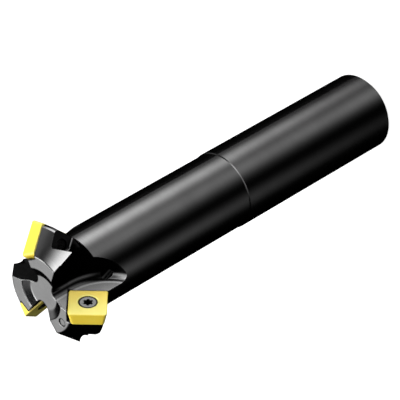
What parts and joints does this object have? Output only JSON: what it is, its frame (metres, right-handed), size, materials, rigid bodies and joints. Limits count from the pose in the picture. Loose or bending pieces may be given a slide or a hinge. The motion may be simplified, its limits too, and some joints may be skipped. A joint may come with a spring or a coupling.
{
  "type": "chamfer milling cutter",
  "caption": "Cylindrical-shank 45 degree chamfer milling cutter with a blackened steel body and square screwed-on indexable inserts.",
  "frame": {"origin": "centre of the flat shank end, on the cutter axis", "axes": "+Z along the cutter axis from the shank end to the cutting tip; +X points at the first tooth, whose rake face looks along +Y; in use the cutter turns by the right-hand rule about +Z"},
  "size_m": [0.0304, 0.0291, 0.1109],
  "materials": {
    "blackened_steel": "gloss",
    "coated_carbide": "satin",
    "screw_steel": "satin"
  },
  "bodies": {
    "root": {"cutter_body": "blackened_steel", "insert_1": "coated_carbide", "insert_2": "coated_carbide", "insert_3": "coated_carbide", "insert_screw_1": "screw_steel", "insert_screw_2": "screw_steel", "insert_screw_3": "screw_steel"}
  },
  "joints": []
}
